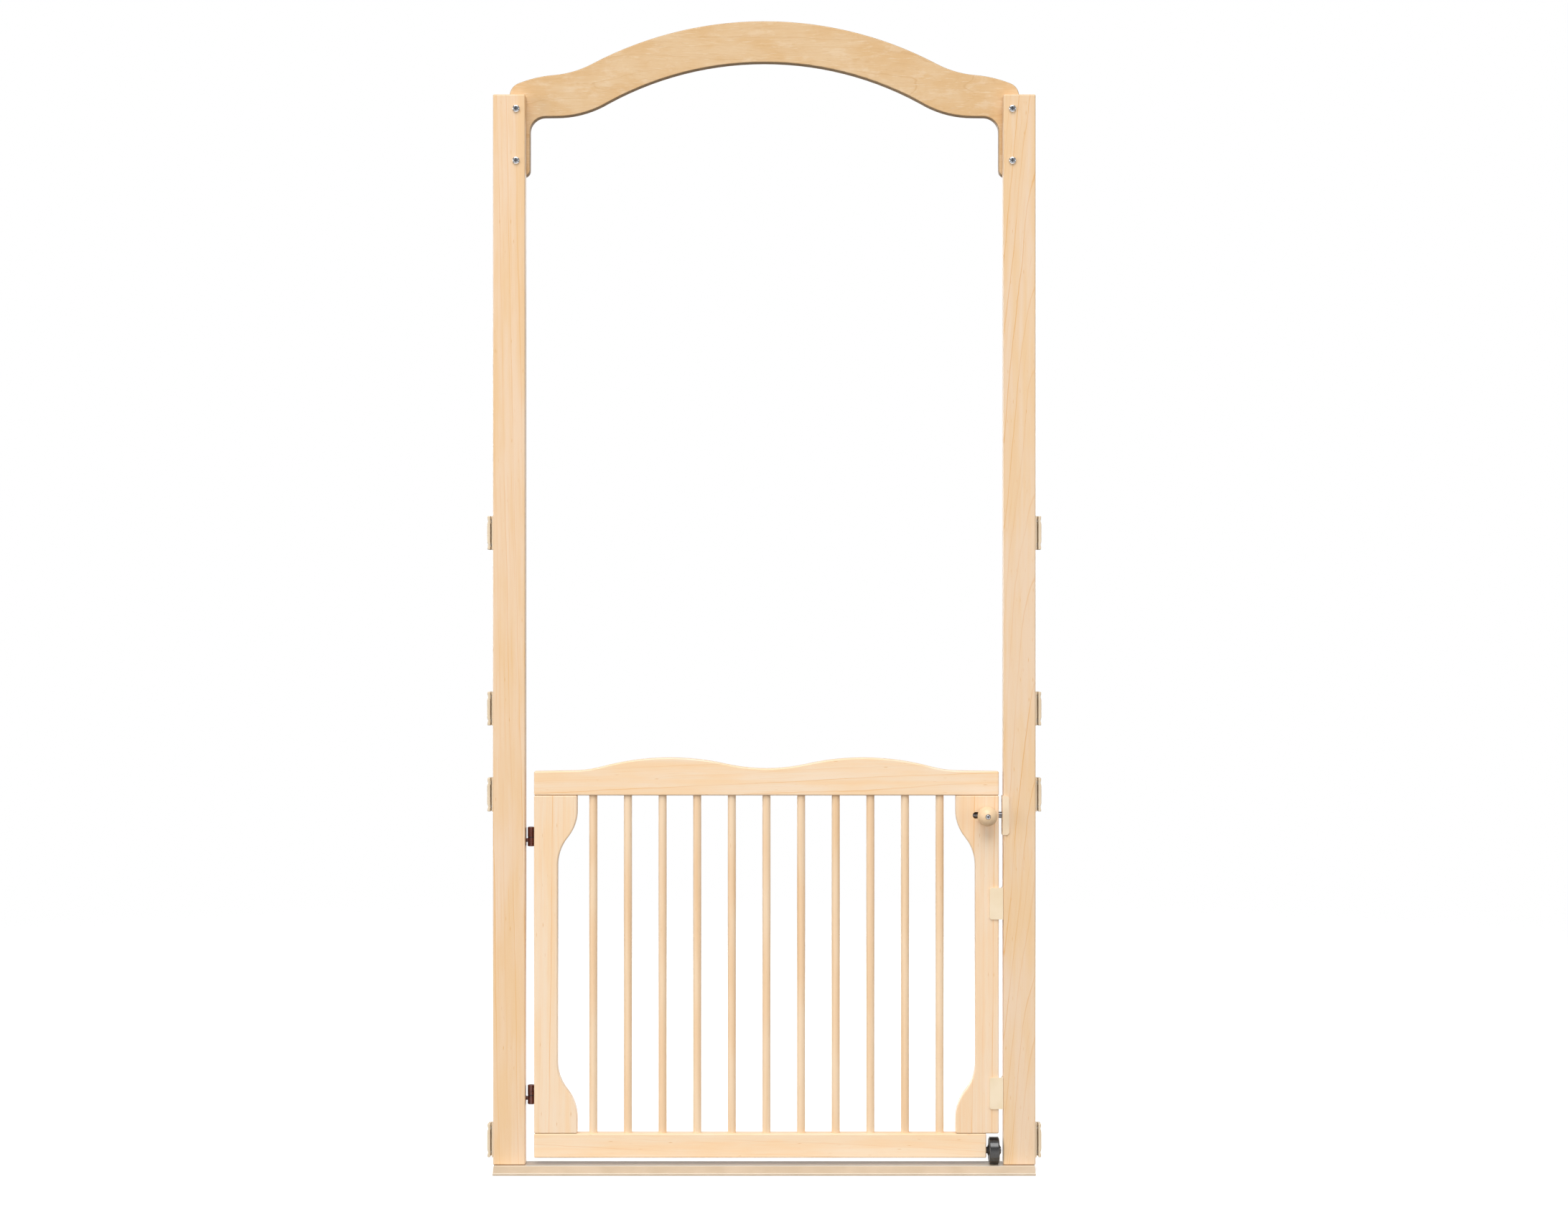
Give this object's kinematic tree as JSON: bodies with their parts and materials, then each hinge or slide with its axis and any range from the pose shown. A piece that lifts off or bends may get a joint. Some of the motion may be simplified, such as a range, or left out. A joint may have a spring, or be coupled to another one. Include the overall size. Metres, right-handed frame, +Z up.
{
  "type": "walk-through safety gate",
  "caption": "Freestanding wooden walk-through frame with an arched header, a ramped threshold and a low spindle gate with a slide latch and a floor roller.",
  "frame": {"origin": "centre of the threshold's underside, on the floor", "axes": "+Z up along the posts, +X from the hinge post to the latch post, +Y away from the person who faces the gate stops; the gate opens towards +Y"},
  "size_m": [0.9476, 0.0846, 1.972],
  "materials": {
    "post_maple": "clear satin lacquer on maple, grain along the post",
    "gate_maple": "clear satin lacquer on maple",
    "birch_plywood": "clear satin lacquer on birch plywood",
    "threshold_paint": "beige powder coat",
    "beige_paint": "beige powder coat",
    "brown_paint": "dark red-brown enamel",
    "bright_steel": "plain bright steel",
    "zinc_screw": "bright zinc",
    "brass": "plain turned brass",
    "dark_plastic": "satin moulded nylon",
    "roller_rubber": "satin rubber"
  },
  "bodies": {
    "frame": {"arch_header": "birch_plywood", "arch_inserts": "brass", "arch_screws": "zinc_screw", "connector_screws": "bright_steel", "latch_strike": "beige_paint", "left_connector_1": "beige_paint", "left_connector_2": "beige_paint", "left_connector_3": "beige_paint", "left_connector_4": "beige_paint", "left_post": "post_maple", "lower_gate_stop": "beige_paint", "lower_hinge_post_leaf": "brown_paint", "lower_hinge_washer": "dark_plastic", "post_leaf_screws": "bright_steel", "right_connector_1": "beige_paint", "right_connector_2": "beige_paint", "right_connector_3": "beige_paint", "right_connector_4": "beige_paint", "right_post": "post_maple", "stop_screws": "bright_steel", "strike_screws": "bright_steel", "threshold_ramp": "threshold_paint", "threshold_screws": "bright_steel", "upper_gate_stop": "beige_paint", "upper_hinge_post_leaf": "brown_paint", "upper_hinge_washer": "dark_plastic"},
    "gate": {"gate_top_rail": "gate_maple", "gate_bottom_rail": "gate_maple", "hinge_stile": "gate_maple", "latch_stile": "gate_maple", "corner_dowels": "gate_maple", "upper_hinge_gate_leaf": "brown_paint", "lower_hinge_gate_leaf": "brown_paint", "gate_leaf_screws": "bright_steel", "upper_hinge_pin": "bright_steel", "lower_hinge_pin": "bright_steel", "hinge_set_screws": "brown_paint", "roller_axle": "bright_steel", "axle_insert": "brass", "roller_spacer": "bright_steel", "spindle_01": "gate_maple", "spindle_02": "gate_maple", "spindle_03": "gate_maple", "spindle_04": "gate_maple", "spindle_05": "gate_maple", "spindle_06": "gate_maple", "spindle_07": "gate_maple", "spindle_08": "gate_maple", "spindle_09": "gate_maple", "spindle_10": "gate_maple", "spindle_11": "gate_maple"},
    "latch": {"latch_rod": "bright_steel", "latch_knob": "gate_maple", "knob_sleeve": "bright_steel", "knob_screw": "bright_steel"},
    "roller": {"roller_wheel": "dark_plastic", "roller_tyre": "roller_rubber"}
  },
  "joints": [
    {"name": "gate_swing", "type": "hinge", "parent": "frame", "child": "gate", "pos_m": [-0.3998, 0.006, 0.35], "axis": [0, 0, 1], "range_deg": [0, 105]},
    {"name": "latch_slide", "type": "slide", "parent": "gate", "child": "latch", "axis": [-1, 0, 0], "range_m": [0, 0.0185]},
    {"name": "roller_spin", "type": "hinge", "parent": "gate", "child": "roller", "pos_m": [0.3929, 0.0003, 0.0359], "axis": [1, 0, 0], "continuous": true}
  ]
}
